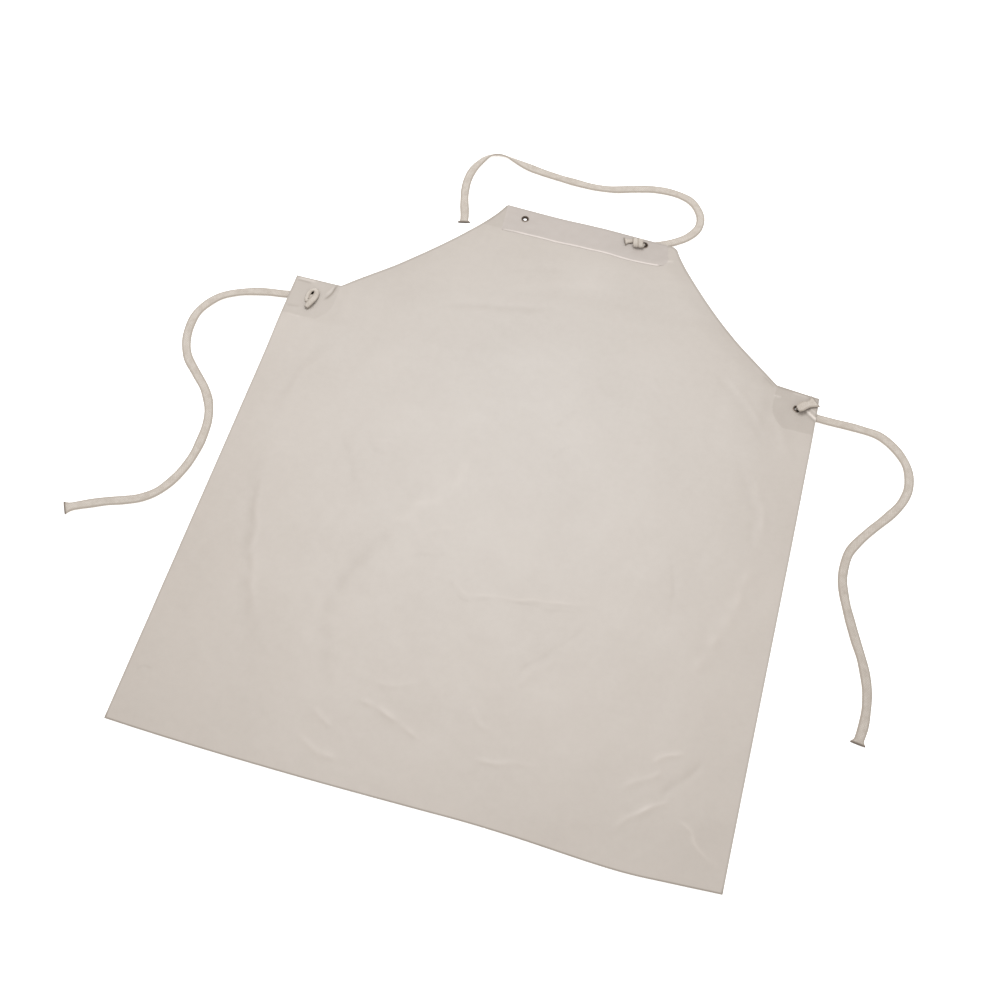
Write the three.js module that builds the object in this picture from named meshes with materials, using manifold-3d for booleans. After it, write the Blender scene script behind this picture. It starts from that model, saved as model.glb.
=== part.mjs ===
// Butcher apron: a heavy clear-white PVC sheet laid out flat, with a welded top hem, two reinforced
// corner tabs, four two-part eyelets and three flat braided cords tied through three of the eyelets.
//
// Millimetres. Left and right are as the front is looked at with the bib at the top. +X is right, +Y runs
// from the bottom edge to the bib, +Z is up off the surface that the apron lies on. The origin is the
// middle of the sheet, on that surface.

import * as THREE from 'three';
import { mergeVertices } from 'three/addons/utils/BufferGeometryUtils.js';
import Module from 'manifold-3d';

const wasm = await Module();
wasm.setup();

// ---- Driving dimensions -------------------------------------------------------------------------

// Sheet outline. The sheet is cut by hand, so the top fold and the tabs aren't quite square to the sides.
const SHEET_WIDTH = 910;
const SHEET_LENGTH = 1079; // middle of the top fold to the lowest point of the bottom edge
const EDGE_SAG = 9; // how far the bottom edge bows past its corners
const BIB_LEFT_CORNER = new THREE.Vector2(-151.5, 543.5);
const BIB_RIGHT_CORNER = new THREE.Vector2(149, 530.5);
const TAB_INNER_LEFT = new THREE.Vector2(-375, 289.5);
const TAB_INNER_RIGHT = new THREE.Vector2(378, 299.5);
const TAB_OUTER_RIGHT_Y = 293;
const SHEET_THICKNESS = 0.5;

// Eyelets, pressed through the sheet
const EYELET_HOLE_R = 3.5;
const EYELET_WALL = 0.3;
const EYELET_FLANGE_R = 7;
const EYELET_FLANGE_THICKNESS = 0.8;
const EYELET_ROUNDING = 0.7;
const WASHER_THICKNESS = 0.4;
const PIERCED_R = EYELET_HOLE_R + EYELET_WALL + 0.3;
const BIB_EYELET_LEFT = new THREE.Vector2(-112.5, 520.5);
const BIB_EYELET_RIGHT = new THREE.Vector2(103, 519.5);
const TAB_EYELET_LEFT = new THREE.Vector2(-416, 257.5);
const TAB_EYELET_RIGHT = new THREE.Vector2(417, 263.5);
const ROUND_SEGMENTS = 20;

// Reinforcement
const WELD_LEFT = new THREE.Vector2(-148, 488.5); // ends of the weld that closes the hem
const WELD_RIGHT = new THREE.Vector2(139, 483);
const HEM_INSET = 2.5; // the hem's ends stand in from the bib's corners
const PATCH_HEIGHT = 78;
const PATCH_CUT_WIDTH = 22;
const PATCH_CUT_HEIGHT = 37;

// Cords, flat tubular cotton braid
const CORD_WIDTH = 15;
const CORD_THICKNESS = 3.6;
const CORD_SIDES = 10;
const CORD_STEP = 30;
const CORD_REST = 0.1; // clear of the surface
const CORD_Z = CORD_REST + CORD_THICKNESS / 2;

// Stack of layers
const LAYER_GAP = 0.1;
const LIFT_OVER_CORD = 5.2; // underside of the sheet where a cord runs beneath it
const LIFT_OVER_WASHER = 0.6; // underside of the sheet where only a washer is beneath it

// ---- Places worked out from them ----------------------------------------------------------------

const TOP_Y = SHEET_LENGTH / 2;
const CORNER_Y = -SHEET_LENGTH / 2 + EDGE_SAG;
const HALF_WIDTH = SHEET_WIDTH / 2;
const TAB_Y = (TAB_INNER_LEFT.y + TAB_INNER_RIGHT.y) / 2;
const BIB_EYELETS = [BIB_EYELET_LEFT, BIB_EYELET_RIGHT];
const TAB_EYELETS = [TAB_EYELET_LEFT, TAB_EYELET_RIGHT];

// The sheet is level where it is lifted, and falls to the surface over these stretches.
const TAB_RISE_X = [290, 365];
const TAB_RISE_Y = [TAB_Y - 165, TAB_Y - 80];
const BIB_RISE_Y = [TOP_Y - 155, TOP_Y - 60];
const BIB_RISE_X = [-60, 60];
const RISE_STEPS = 4;
const CUTTER_DEPTH = 60;
const CURVE_SEGMENTS = 12;

// ---- Materials ----------------------------------------------------------------------------------

const vinyl = new THREE.MeshStandardMaterial({ color: 0xd3ccc4, roughness: 0.35, metalness: 0 });
const vinylDouble = new THREE.MeshStandardMaterial({ color: 0xc9c0b9, roughness: 0.35, metalness: 0 });
const nickel = new THREE.MeshStandardMaterial({ color: 0xb9b6b0, roughness: 0.25, metalness: 1 });
const cotton = new THREE.MeshStandardMaterial({ color: 0xd6cfc3, roughness: 0.95, metalness: 0 });

// ---- Solids: join, cut and back to a mesh -------------------------------------------------------

function toSolid(geometry) {
  const bare = geometry.index ? geometry.toNonIndexed() : geometry.clone();
  bare.deleteAttribute('normal');
  bare.deleteAttribute('uv');
  const merged = mergeVertices(bare, 1e-4);
  return new wasm.Manifold(new wasm.Mesh({
    numProp: 3,
    vertProperties: new Float32Array(merged.attributes.position.array),
    triVerts: new Uint32Array(merged.index.array),
  }));
}

function toGeometry(solid) {
  const mesh = solid.getMesh();
  const geometry = new THREE.BufferGeometry();
  geometry.setAttribute('position', new THREE.BufferAttribute(mesh.vertProperties, 3));
  geometry.setIndex(new THREE.BufferAttribute(mesh.triVerts, 1));
  const faceted = geometry.toNonIndexed();
  faceted.computeVertexNormals();
  return faceted;
}

// ---- Lie of the sheet ---------------------------------------------------------------------------

function rise(value, [from, to]) {
  return THREE.MathUtils.smoothstep(value, from, to);
}

// Height of the sheet's underside: up at both tabs and along the bib, most where a cord is beneath.
function liftAt(x, y) {
  const tab = LIFT_OVER_CORD * rise(Math.abs(x), TAB_RISE_X) * rise(y, TAB_RISE_Y);
  const bibLevel = THREE.MathUtils.lerp(LIFT_OVER_WASHER, LIFT_OVER_CORD, rise(x, BIB_RISE_X));
  return Math.max(tab, bibLevel * rise(y, BIB_RISE_Y));
}

function steps([from, to]) {
  return Array.from({ length: RISE_STEPS + 1 }, (_, i) => THREE.MathUtils.lerp(from, to, i / RISE_STEPS));
}

// Grid lines of a draped layer: close together only where the sheet rises.
const MARGIN = 20;
const tabLines = steps(TAB_RISE_X);
const GRID_X = [
  -HALF_WIDTH - MARGIN,
  ...tabLines.map((x) => -x).reverse(),
  ...steps(BIB_RISE_X),
  ...tabLines,
  HALF_WIDTH + MARGIN,
];
const GRID_Y = [
  -TOP_Y - MARGIN,
  ...steps(TAB_RISE_Y),
  ...steps(BIB_RISE_Y),
  TOP_Y + MARGIN,
];

// A layer of the given thickness, its underside `offset` above the sheet's, trimmed to an outline.
function drapedLayer(outline, offset, thickness) {
  const columns = GRID_X.length - 1;
  const rows = GRID_Y.length - 1;
  const layer = new THREE.BoxGeometry(columns, rows, thickness, columns, rows, 1);
  const position = layer.attributes.position;
  for (let i = 0; i < position.count; i += 1) {
    const x = GRID_X[Math.round(position.getX(i) + columns / 2)];
    const y = GRID_Y[Math.round(position.getY(i) + rows / 2)];
    position.setXYZ(i, x, y, liftAt(x, y) + offset + thickness / 2 + position.getZ(i));
  }
  const cutter = new THREE.ExtrudeGeometry(outline, {
    depth: CUTTER_DEPTH,
    bevelEnabled: false,
    curveSegments: CURVE_SEGMENTS,
  });
  cutter.translate(0, 0, -CUTTER_DEPTH / 2);
  return toGeometry(toSolid(layer).intersect(toSolid(cutter)));
}

function pierce(outline, eyelets) {
  for (const { x, y } of eyelets) {
    const circle = new THREE.EllipseCurve(x, y, PIERCED_R, PIERCED_R);
    outline.holes.push(new THREE.Path(circle.getPoints(ROUND_SEGMENTS).slice(1)));
  }
}

// ---- Outlines -----------------------------------------------------------------------------------

// Each armhole is a shallow concave curve from a tab's inner corner to the bib, shaped by these pulls. The
// right one stops short of the bib's corner, which is rounded off.
const LEFT_ARMHOLE_PULL = [-178, 472];
const RIGHT_ARMHOLE_PULLS = [308, 353, 193, 463];
const RIGHT_ARMHOLE_TOP = [163, 521];
const RIGHT_CORNER_PULL = [159.5, 529.5];

// The bottom edge bows a little on the left, then dips furthest on its way to the right corner. Each
// curve is its two pulls and its end: x, and how far below the corners.
const BOTTOM_CURVES = [
  [[-280, 7], [-100, 5], [60, 2]],
  [[190, 0], [270, 12], [345, 7.5]],
];

function sheetOutline() {
  const outline = new THREE.Shape();
  outline.moveTo(-HALF_WIDTH, CORNER_Y);
  for (const curve of BOTTOM_CURVES) {
    outline.bezierCurveTo(...curve.flatMap(([x, drop]) => [x, CORNER_Y - drop]));
  }
  outline.lineTo(HALF_WIDTH, CORNER_Y);
  outline.lineTo(HALF_WIDTH, TAB_OUTER_RIGHT_Y);
  outline.lineTo(TAB_INNER_RIGHT.x, TAB_INNER_RIGHT.y);
  outline.bezierCurveTo(...RIGHT_ARMHOLE_PULLS, ...RIGHT_ARMHOLE_TOP);
  outline.quadraticCurveTo(...RIGHT_CORNER_PULL, BIB_RIGHT_CORNER.x, BIB_RIGHT_CORNER.y);
  outline.lineTo(BIB_LEFT_CORNER.x, BIB_LEFT_CORNER.y);
  outline.quadraticCurveTo(...LEFT_ARMHOLE_PULL, TAB_INNER_LEFT.x, TAB_INNER_LEFT.y);
  outline.lineTo(-HALF_WIDTH, TAB_INNER_LEFT.y);
  pierce(outline, [...BIB_EYELETS, ...TAB_EYELETS]);
  return outline;
}

// The hem is the strip of sheet folded down over the front of the bib and welded along its lower edge.
function hemOutline() {
  const outline = new THREE.Shape();
  outline.moveTo(WELD_LEFT.x, WELD_LEFT.y);
  outline.lineTo(WELD_RIGHT.x, WELD_RIGHT.y);
  outline.lineTo(BIB_RIGHT_CORNER.x - HEM_INSET, BIB_RIGHT_CORNER.y);
  outline.lineTo(BIB_LEFT_CORNER.x + HEM_INSET, BIB_LEFT_CORNER.y);
  pierce(outline, BIB_EYELETS);
  return outline;
}

// A square of the same sheet welded behind each tab, its inner lower corner cut off.
function patchOutline({ inner, outer, eyelet }) {
  const side = Math.sign(inner.x);
  const bottom = inner.y - PATCH_HEIGHT;
  const outline = new THREE.Shape();
  outline.moveTo(inner.x, inner.y);
  outline.lineTo(inner.x, bottom + PATCH_CUT_HEIGHT);
  outline.lineTo(inner.x + side * PATCH_CUT_WIDTH, bottom);
  outline.lineTo(outer.x, bottom);
  outline.lineTo(outer.x, outer.y);
  pierce(outline, [eyelet]);
  return outline;
}

const LEFT_TAB = {
  inner: TAB_INNER_LEFT,
  outer: new THREE.Vector2(-HALF_WIDTH, TAB_INNER_LEFT.y),
  eyelet: TAB_EYELET_LEFT,
};
const RIGHT_TAB = {
  inner: TAB_INNER_RIGHT,
  outer: new THREE.Vector2(HALF_WIDTH, TAB_OUTER_RIGHT_Y),
  eyelet: TAB_EYELET_RIGHT,
};

// ---- Eyelets ------------------------------------------------------------------------------------

function lathe(profile) {
  const points = profile.map(([radius, height]) => new THREE.Vector2(radius, height));
  points.push(points[0].clone());
  const geometry = new THREE.LatheGeometry(points, ROUND_SEGMENTS);
  geometry.rotateX(Math.PI / 2);
  return toGeometry(toSolid(geometry));
}

// Barrel and rolled flange, heights measured from the flange's underside.
function eyeletGeometry(grip) {
  const barrelR = EYELET_HOLE_R + EYELET_WALL;
  const barrelEnd = -(grip + WASHER_THICKNESS + LAYER_GAP);
  return lathe([
    [EYELET_HOLE_R, barrelEnd],
    [barrelR, barrelEnd],
    [barrelR, 0],
    [EYELET_FLANGE_R, 0],
    [EYELET_FLANGE_R, EYELET_FLANGE_THICKNESS / 2],
    [EYELET_FLANGE_R - EYELET_ROUNDING, EYELET_FLANGE_THICKNESS],
    [EYELET_HOLE_R + EYELET_ROUNDING, EYELET_FLANGE_THICKNESS],
    [EYELET_HOLE_R, EYELET_FLANGE_THICKNESS / 2],
  ]);
}

function washerGeometry() {
  return lathe([
    [PIERCED_R, 0],
    [EYELET_FLANGE_R, 0],
    [EYELET_FLANGE_R, WASHER_THICKNESS],
    [PIERCED_R, WASHER_THICKNESS],
  ]);
}

// ---- Cords --------------------------------------------------------------------------------------

// Each route starts under its eyelet and runs to the cut end. The sheet hides its first few points.
const NECK_ROUTE = [
  [104, 520], [130, 532], [154, 546], [173, 563], [185, 585], [185, 608], [175, 628], [159, 643],
  [138, 650], [114, 652], [86, 649], [52, 639], [19, 629], [-12, 625], [-48, 626], [-86, 629],
  [-124, 634], [-160, 642], [-188, 646], [-211, 640], [-225, 622], [-233, 600], [-235, 576],
  [-232, 550], [-225, 523], [-218, 501], [-214, 483],
];
const LEFT_ROUTE = [
  [-417, 257.5], [-438, 255], [-465, 249], [-492, 245], [-519, 238], [-544, 228], [-567, 213],
  [-583, 192], [-592, 169], [-593, 142], [-587, 112], [-573, 84], [-548, 58], [-523, 33], [-505, 5],
  [-496, -23], [-493, -53], [-494, -85], [-500, -116], [-510, -142], [-525, -166], [-545, -183],
  [-568, -194], [-592, -203], [-614, -213], [-636, -224], [-652, -233],
];
const RIGHT_ROUTE = [
  [418, 263.5], [434, 261], [452, 258], [477, 257], [504, 257], [530, 256], [553, 253], [573, 243],
  [591, 228], [605, 209], [612, 188], [613, 163], [605, 136], [589, 109], [566, 77], [549, 50],
  [540, 30], [537, 6], [538, -18], [545, -44], [557, -75], [572, -109], [588, -143], [600, -180],
  [604, -210], [604, -240], [600, -269],
];

// A flat cord: its flattened oval section carried along the route, lying on the surface.
function cordGeometry(route) {
  const path = new THREE.CatmullRomCurve3(
    route.map(([x, y]) => new THREE.Vector3(x, y, CORD_Z)),
    false,
    'centripetal',
  );
  const section = new THREE.Shape();
  for (let i = 0; i < CORD_SIDES; i += 1) {
    const angle = (2 * Math.PI * (i + 0.5)) / CORD_SIDES;
    const across = (CORD_WIDTH / 2) * Math.cos(angle);
    const up = (CORD_THICKNESS / 2) * Math.sin(angle);
    if (i === 0) {
      section.moveTo(up, across);
    } else {
      section.lineTo(up, across);
    }
  }
  return new THREE.ExtrudeGeometry(section, {
    steps: Math.round(path.getLength() / CORD_STEP),
    extrudePath: path,
    bevelEnabled: false,
  });
}

// ---- Knots --------------------------------------------------------------------------------------

const KNOT_STEM_R = EYELET_HOLE_R - 0.5;
const KNOT_GAP = 0.3;
const KNOT_STEM_BITE = 3; // how far the stem reaches up into the knot

// The cord's stem up through the eyelet, from just above the cord to inside the knot.
function knotStem(top) {
  const bottom = CORD_REST + CORD_THICKNESS + KNOT_GAP;
  const stem = new THREE.CylinderGeometry(KNOT_STEM_R, KNOT_STEM_R, top - bottom, 12);
  stem.rotateX(Math.PI / 2);
  stem.translate(0, 0, (top + bottom) / 2);
  return toSolid(stem);
}

// A flattened pad of cord: length along its own direction, then turned and set on the eyelet.
function knotPad({ length, width, height, angle, offset, base }) {
  const pad = new THREE.SphereGeometry(0.5, 16, 10);
  pad.scale(length, width, height);
  pad.translate(offset, 0, base + height / 2);
  pad.rotateZ(angle);
  return toSolid(pad);
}

// An overhand knot's crossing loops, drawn together and pressed flat.
function knotLoops({ radius, height, angle, offset, base }) {
  const loops = new THREE.TorusKnotGeometry(radius, 0.29 * radius, 48, 8, 2, 3);
  loops.computeBoundingBox();
  const { min, max } = loops.boundingBox;
  loops.scale(1, 1, height / (max.z - min.z));
  loops.translate(offset, 0, base + height / 2);
  loops.rotateZ(angle);
  return toSolid(loops);
}

// ---- Assembly -----------------------------------------------------------------------------------

const apron = new THREE.Group();

function add(name, geometry, material, parent = apron) {
  const mesh = new THREE.Mesh(geometry, material);
  mesh.name = name;
  parent.add(mesh);
  return mesh;
}

add('apron_sheet', drapedLayer(sheetOutline(), 0, SHEET_THICKNESS), vinyl);
add('top_hem', drapedLayer(hemOutline(), SHEET_THICKNESS + LAYER_GAP, SHEET_THICKNESS), vinylDouble);

const PATCH_OFFSET = -(SHEET_THICKNESS + LAYER_GAP);
add('left_corner_patch', drapedLayer(patchOutline(LEFT_TAB), PATCH_OFFSET, SHEET_THICKNESS), vinylDouble);
add('right_corner_patch', drapedLayer(patchOutline(RIGHT_TAB), PATCH_OFFSET, SHEET_THICKNESS), vinylDouble);

// Every eyelet goes through two layers: sheet and hem on the bib, patch and sheet on the tabs.
const GRIP = 2 * SHEET_THICKNESS + 3 * LAYER_GAP;
const eyelets = [
  { name: 'bib_eyelet_left', at: BIB_EYELET_LEFT, below: 0 },
  { name: 'bib_eyelet_right', at: BIB_EYELET_RIGHT, below: 0 },
  { name: 'tab_eyelet_left', at: TAB_EYELET_LEFT, below: -PATCH_OFFSET },
  { name: 'tab_eyelet_right', at: TAB_EYELET_RIGHT, below: -PATCH_OFFSET },
];

for (const { name, at, below } of eyelets) {
  const ring = new THREE.Group();
  ring.position.set(at.x, at.y, liftAt(at.x, at.y) - below - LAYER_GAP);
  apron.add(ring);
  add(name, eyeletGeometry(GRIP), nickel, ring).position.z = GRIP;
  add(`${name}_washer`, washerGeometry(), nickel, ring).position.z = -WASHER_THICKNESS;
}

add('neck_cord', cordGeometry(NECK_ROUTE), cotton);
add('left_waist_cord', cordGeometry(LEFT_ROUTE), cotton);
add('right_waist_cord', cordGeometry(RIGHT_ROUTE), cotton);

// Knots stand just clear of the flange they bear on.
const bibKnotBase = LIFT_OVER_CORD - LAYER_GAP + GRIP + EYELET_FLANGE_THICKNESS + KNOT_GAP;
const tabKnotBase = bibKnotBase + PATCH_OFFSET;

function addKnot(name, at, solid) {
  const knot = add(name, toGeometry(solid), cotton);
  knot.position.set(at.x, at.y, 0);
}

// The neck cord's knot is drawn up tight beside its eyelet, with its flared end beyond it.
const neckLump = { length: 22, width: 20, height: 8.2, angle: 3.35, offset: 11.5, base: bibKnotBase };
const neckTail = { length: 26, width: 14, height: 3.6, angle: 3.22, offset: 25, base: bibKnotBase };
addKnot(
  'neck_cord_knot',
  BIB_EYELET_RIGHT,
  knotPad(neckLump).add(knotPad(neckTail)).add(knotStem(bibKnotBase + KNOT_STEM_BITE)),
);

// The left waist cord's knot is a flat loop round its eyelet, with a tail towards the bottom edge.
const leftLoops = { radius: 6.5, height: 7, angle: -1.5, offset: 1, base: tabKnotBase };
const leftTail = { length: 26, width: 14, height: 5, angle: -1.5, offset: 16, base: tabKnotBase };
addKnot(
  'left_waist_cord_knot',
  TAB_EYELET_LEFT,
  knotLoops(leftLoops).add(knotPad(leftTail)).add(knotStem(tabKnotBase + KNOT_STEM_BITE)),
);

// The right waist cord's knot lies pressed flat, its long tail reaching the tab's outer top corner.
const rightTail = { length: 38, width: 17, height: 4.5, angle: 0.62, offset: 17, base: tabKnotBase };
const rightLump = { length: 20, width: 17, height: 7, angle: 0.65, offset: 4, base: tabKnotBase };
addKnot(
  'right_waist_cord_knot',
  TAB_EYELET_RIGHT,
  knotPad(rightTail).add(knotPad(rightLump)).add(knotStem(tabKnotBase + KNOT_STEM_BITE)),
);

export default apron;
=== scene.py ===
"""Butcher apron of heavy PVC sheet, laid flat: the looks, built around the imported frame. Metres."""
import math

import bpy
import numpy as np
from mathutils import Matrix, Vector
from mathutils.geometry import delaunay_2d_cdt


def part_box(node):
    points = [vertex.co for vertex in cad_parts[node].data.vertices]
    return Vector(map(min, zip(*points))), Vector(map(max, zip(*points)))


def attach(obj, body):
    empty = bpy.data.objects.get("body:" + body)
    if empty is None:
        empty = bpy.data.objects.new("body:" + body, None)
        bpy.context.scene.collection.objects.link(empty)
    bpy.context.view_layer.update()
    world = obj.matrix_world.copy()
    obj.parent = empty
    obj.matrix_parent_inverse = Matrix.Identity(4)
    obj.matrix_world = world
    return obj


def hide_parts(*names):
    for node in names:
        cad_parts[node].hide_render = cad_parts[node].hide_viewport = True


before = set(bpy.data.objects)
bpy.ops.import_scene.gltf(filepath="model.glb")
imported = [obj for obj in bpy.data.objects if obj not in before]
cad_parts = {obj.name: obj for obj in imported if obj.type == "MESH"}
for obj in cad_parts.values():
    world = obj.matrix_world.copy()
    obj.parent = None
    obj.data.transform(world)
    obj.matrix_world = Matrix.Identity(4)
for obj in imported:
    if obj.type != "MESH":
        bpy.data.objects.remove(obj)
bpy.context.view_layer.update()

MM = 0.001

# ---- Driving dimensions, in millimetres ----------------------

CORNER_Y = -530.5
BIB_LEFT_CORNER = (-151.5, 543.5)
BIB_RIGHT_CORNER = (149, 530.5)
TAB_INNER_LEFT = (-375, 289.5)
TAB_INNER_RIGHT = (378, 299.5)
TAB_OUTER_RIGHT = (449.5, 293)
HEM_END_X = 142
PATCH_HEIGHT = 78
SHEET_THICKNESS = 0.5
LAYER_GAP = 0.1
PIERCED_R = 4.1
LIFT_OVER_CORD = 5.2
LIFT_OVER_WASHER = 0.6
CORD_WIDTH = 15
CORD_THICKNESS = 3.6
CORD_REST = 0.1

# ---- Places, from the frame ----------------------------------


def low_high(node):
    low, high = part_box(node)
    return np.array(low, float), np.array(high, float)


HALF_WIDTH = low_high("apron_sheet")[1][0] / MM
EYELETS = ["bib_eyelet_left", "bib_eyelet_right", "tab_eyelet_left", "tab_eyelet_right"]
EYELET_AT = {name: sum(low_high(name)) / 2 for name in EYELETS}

# ---- Camera --------------------------------------------------

CAMERA_AT = (0.2446, -0.9769, 1.8719)
CAMERA_LOOK = Vector((-0.11710, 0.44859, -0.88603))
CAMERA_UP = Vector((-0.24658, 0.85110, 0.46350))
CAMERA_LENS = 48.35


def make_camera():
    data = bpy.data.cameras.new("camera")
    data.lens = CAMERA_LENS
    data.sensor_width = 36
    data.clip_end = 50
    camera = bpy.data.objects.new("camera", data)
    bpy.context.collection.objects.link(camera)
    right = CAMERA_LOOK.cross(CAMERA_UP).normalized()
    turn = Matrix((right, CAMERA_UP, -CAMERA_LOOK)).transposed()
    camera.matrix_world = Matrix.Translation(CAMERA_AT) @ turn.to_4x4()
    bpy.context.scene.camera = camera


# ---- Curves and lines ----------------------------------------

SPAN_STEPS = 24


def smoothstep(value, low, high):
    """0 at low and 1 at high, or the other way round where low is the larger."""
    t = np.clip((value - low) / (high - low), 0, 1)
    return t * t * (3 - 2 * t)


def unit(vectors):
    return vectors / np.linalg.norm(vectors, axis=-1, keepdims=True)


def arc_length(points):
    gaps = np.linalg.norm(np.diff(points, axis=0), axis=1)
    return np.concatenate([[0], np.cumsum(gaps)])


def interpolated(at, stations, values):
    values = np.asarray(values, float)
    return np.stack([np.interp(at, stations, column) for column in values.T], axis=1)


def bezier(points, count=48):
    points = np.asarray(points, float)
    t = np.linspace(0, 1, count)[:, None]
    degree = len(points) - 1
    return sum(
        math.comb(degree, k) * (1 - t) ** (degree - k) * t**k * points[k] for k in range(degree + 1)
    )


def catmull_rom(points, spacing, carried=None):
    """A centripetal Catmull-Rom curve, evenly resampled, and the values that its points carry."""
    points = np.asarray(points, float)
    ends = np.vstack([2 * points[0] - points[1], points, 2 * points[-1] - points[-2]])
    fine = []
    for p0, p1, p2, p3 in zip(ends, ends[1:], ends[2:], ends[3:]):
        k0 = 0.0
        k1 = k0 + np.linalg.norm(p1 - p0) ** 0.5
        k2 = k1 + np.linalg.norm(p2 - p1) ** 0.5
        k3 = k2 + np.linalg.norm(p3 - p2) ** 0.5
        t = np.linspace(k1, k2, SPAN_STEPS, endpoint=False)[:, None]
        a1 = (k1 - t) / (k1 - k0) * p0 + (t - k0) / (k1 - k0) * p1
        a2 = (k2 - t) / (k2 - k1) * p1 + (t - k1) / (k2 - k1) * p2
        a3 = (k3 - t) / (k3 - k2) * p2 + (t - k2) / (k3 - k2) * p3
        b1 = (k2 - t) / (k2 - k0) * a1 + (t - k0) / (k2 - k0) * a2
        b2 = (k3 - t) / (k3 - k1) * a2 + (t - k1) / (k3 - k1) * a3
        fine.append((k2 - t) / (k2 - k1) * b1 + (t - k1) / (k2 - k1) * b2)
    fine = np.vstack([*fine, points[-1:]])
    along = arc_length(fine)
    count = max(2, int(round(along[-1] / spacing)) + 1)
    at = np.linspace(0, along[-1], count)
    curve = interpolated(at, along, fine)
    if carried is None:
        return curve
    station = np.interp(at, along, np.arange(len(fine)) / SPAN_STEPS)
    return curve, interpolated(station, np.arange(len(points)), carried)


def line_distance(points, line):
    """Each point's distance from an open line, and how far along the line that is, from 0 to 1."""
    best = np.full(len(points), 1e9)
    share = np.zeros(len(points))
    along = arc_length(line)
    for a, b, start in zip(line, line[1:], along):
        d = b - a
        t = np.clip(((points - a) @ d) / max(d @ d, 1e-12), 0, 1)
        gap = np.linalg.norm(points - a - t[:, None] * d, axis=1)
        nearer = gap < best
        best = np.where(nearer, gap, best)
        share = np.where(nearer, (start + t * np.linalg.norm(d)) / along[-1], share)
    return best, share


def inside(points, polygon):
    x, y = points[:, 0], points[:, 1]
    result = np.zeros(len(points), bool)
    for (x0, y0), (x1, y1) in zip(polygon, np.roll(polygon, -1, axis=0)):
        crosses = (y0 > y) != (y1 > y)
        with np.errstate(divide="ignore", invalid="ignore"):
            at = (x1 - x0) * (y - y0) / (y1 - y0) + x0
        result ^= crosses & (x < at)
    return result


def closed(polygon):
    return np.vstack([polygon, polygon[:1]])


# ---- Mesh helpers --------------------------------------------


def make_object(name, points, faces, sharp_angle=None):
    mesh = bpy.data.meshes.new(name)
    mesh.from_pydata([tuple(p) for p in points], [], [tuple(f) for f in faces])
    mesh.validate()
    mesh.shade_smooth()
    if sharp_angle is not None:
        mesh.set_sharp_from_angle(angle=math.radians(sharp_angle))
    piece = bpy.data.objects.new(name, mesh)
    bpy.context.collection.objects.link(piece)
    return piece


def tube_faces(rows, sides):
    """Quads between each ring of points and the next."""
    return [
        (i * sides + k, i * sides + (k + 1) % sides,
         (i + 1) * sides + (k + 1) % sides, (i + 1) * sides + k)
        for i in range(rows - 1) for k in range(sides)
    ]


def set_attribute(piece, name, values):
    kind = "FLOAT" if np.ndim(values) == 1 else "FLOAT_VECTOR"
    field = "value" if kind == "FLOAT" else "vector"
    attribute = piece.data.attributes.new(name, kind, "POINT")
    attribute.data.foreach_set(field, np.asarray(values, np.float32).ravel())


def place(piece, body, slot, *nodes):
    """Fix a piece to its body and hide the CAD nodes that it stands for; its slot is not used."""
    if nodes:
        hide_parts(*nodes)
    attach(piece, body)
    return piece


# ---- Braided cord --------------------------------------------

RING_SPACING = 0.9
RING_POINTS = 44
STRANDS_AROUND = 8
STRAND_RELIEF = 0.16
STRAND_LEVEL = 0.75
STRAND_SLANT = 1.8
MOUTH_DEPTH = 3
MOUTH_RINGS = ((0.0, 0.9), (0.4, 0.8), (1.0, 0.62))  # how deep each inner ring is, and its size
# Painted shade down the braid's rounded sides, between these shares of its half width.
PAINTED_SIDE_SHADE_SPAN = (0.5, 0.86)
SECTION_POWER = 2.6


def section(half_width, half_height):
    """One ring of a flattened tube, evenly spaced round its own outline, as (across, up) pairs."""
    angle = np.linspace(0, 2 * math.pi, 361)
    power = 2 / SECTION_POWER
    across = half_width * np.sign(np.cos(angle)) * np.abs(np.cos(angle)) ** power
    up = half_height * np.sign(np.sin(angle)) * np.abs(np.sin(angle)) ** power
    outline = np.stack([across, up], axis=1)
    along = arc_length(outline)
    return interpolated(np.arange(RING_POINTS) / RING_POINTS * along[-1], along, outline)


def braid_relief(along, around):
    """Height of crossing strands, 0 in the grooves to 1 on the crowns."""
    first = along + around
    second = along - around
    over = (np.floor(first) + np.floor(second)) % 2 < 1
    u = 2 * (first % 1) - 1
    v = 2 * (second % 1) - 1
    crown_u = (1 - 0.92 * u * u) * (1 - 0.35 * v * v)
    crown_v = (1 - 0.92 * v * v) * (1 - 0.35 * u * u)
    return np.where(over, crown_u, crown_v)


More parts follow.
